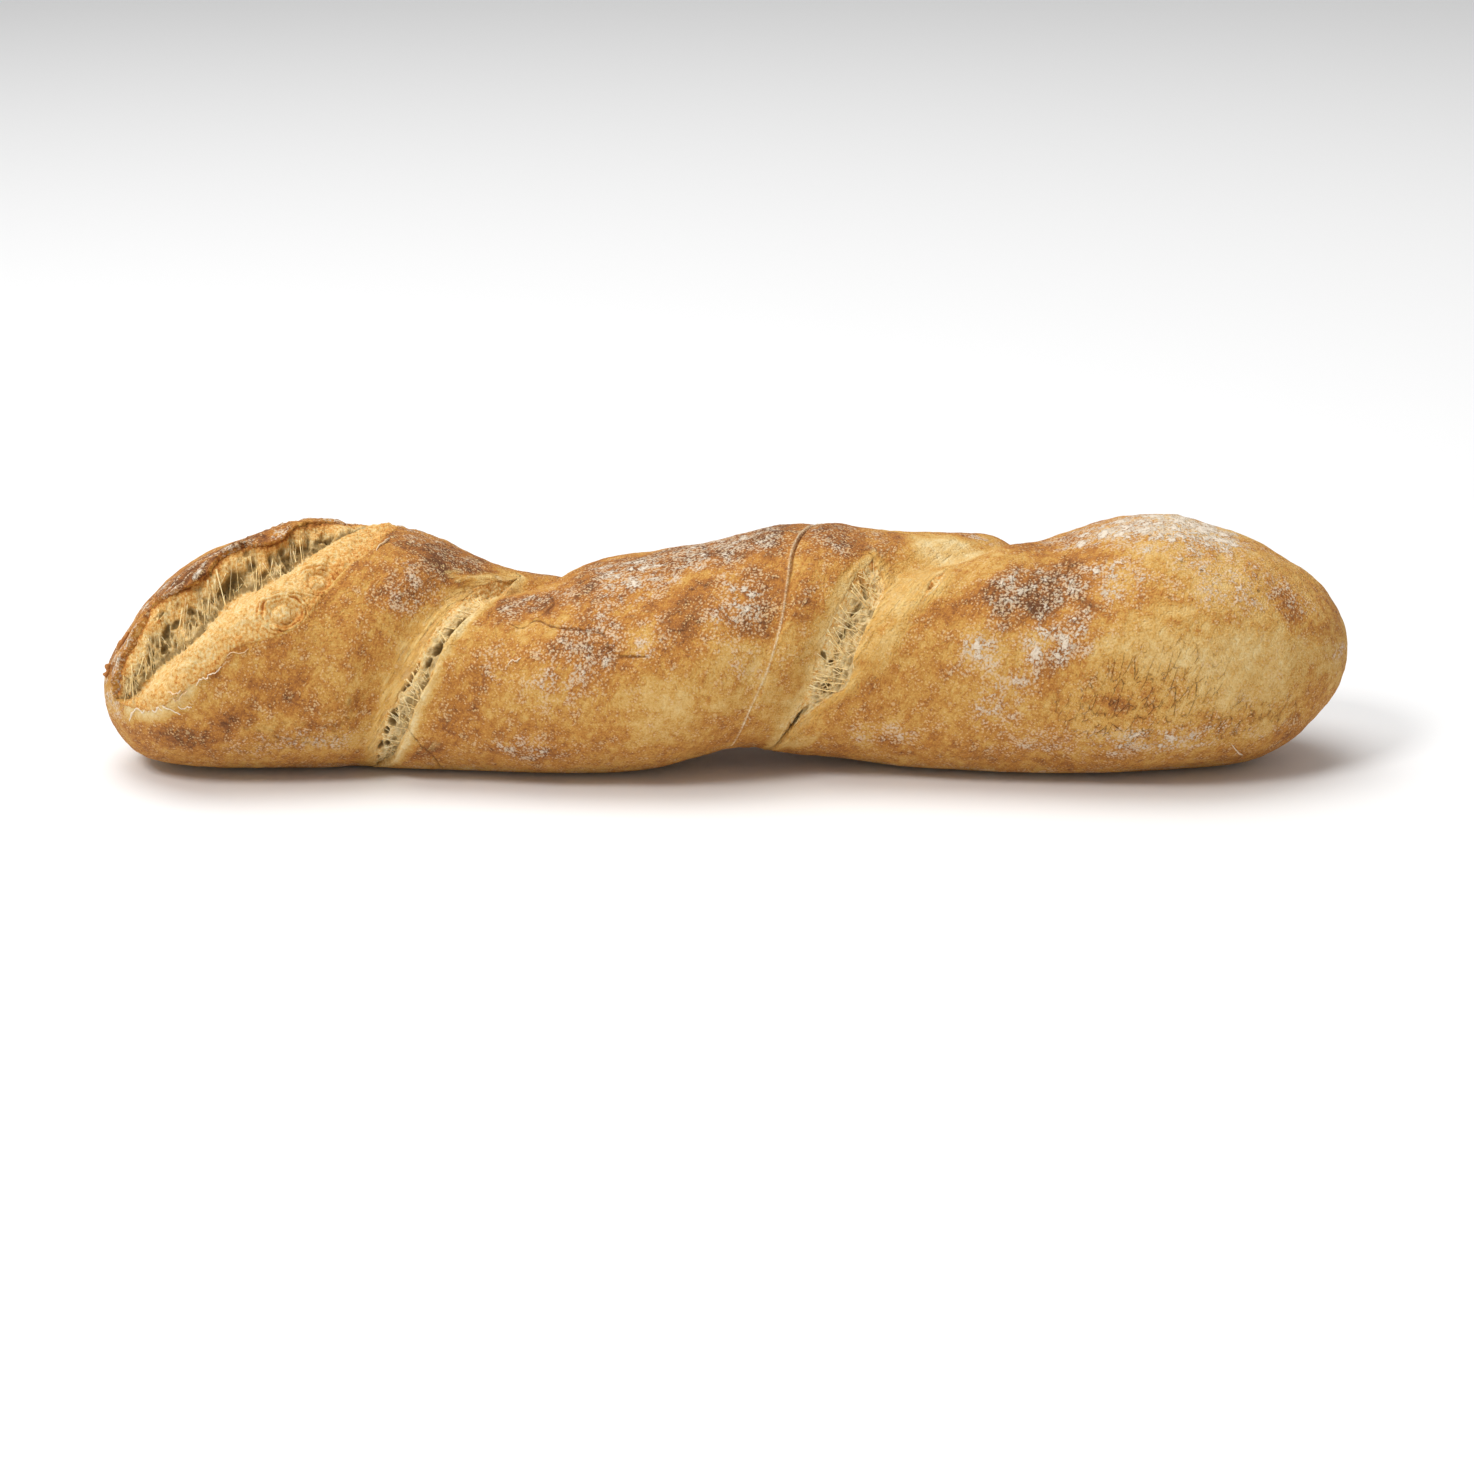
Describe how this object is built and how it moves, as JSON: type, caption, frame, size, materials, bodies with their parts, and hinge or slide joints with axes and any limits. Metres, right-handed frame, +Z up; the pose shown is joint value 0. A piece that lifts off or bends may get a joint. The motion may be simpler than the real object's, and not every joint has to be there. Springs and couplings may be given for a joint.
{
  "type": "white bread loaf",
  "caption": "Rustic white bread loaf: a long floured twist of dough with a helical crease, a burst ear of crust at its narrow end and a flat sole.",
  "frame": {"origin": "middle of the loaf's box in plan, on the plane that it rests on", "axes": "+X along the loaf towards its round end, -Y the front, +Z up"},
  "size_m": [0.39, 0.0912, 0.0772],
  "materials": {
    "crust": "dry matt golden-brown crust dusted with flour"
  },
  "bodies": {
    "root": {"loaf": "crust"}
  },
  "joints": []
}
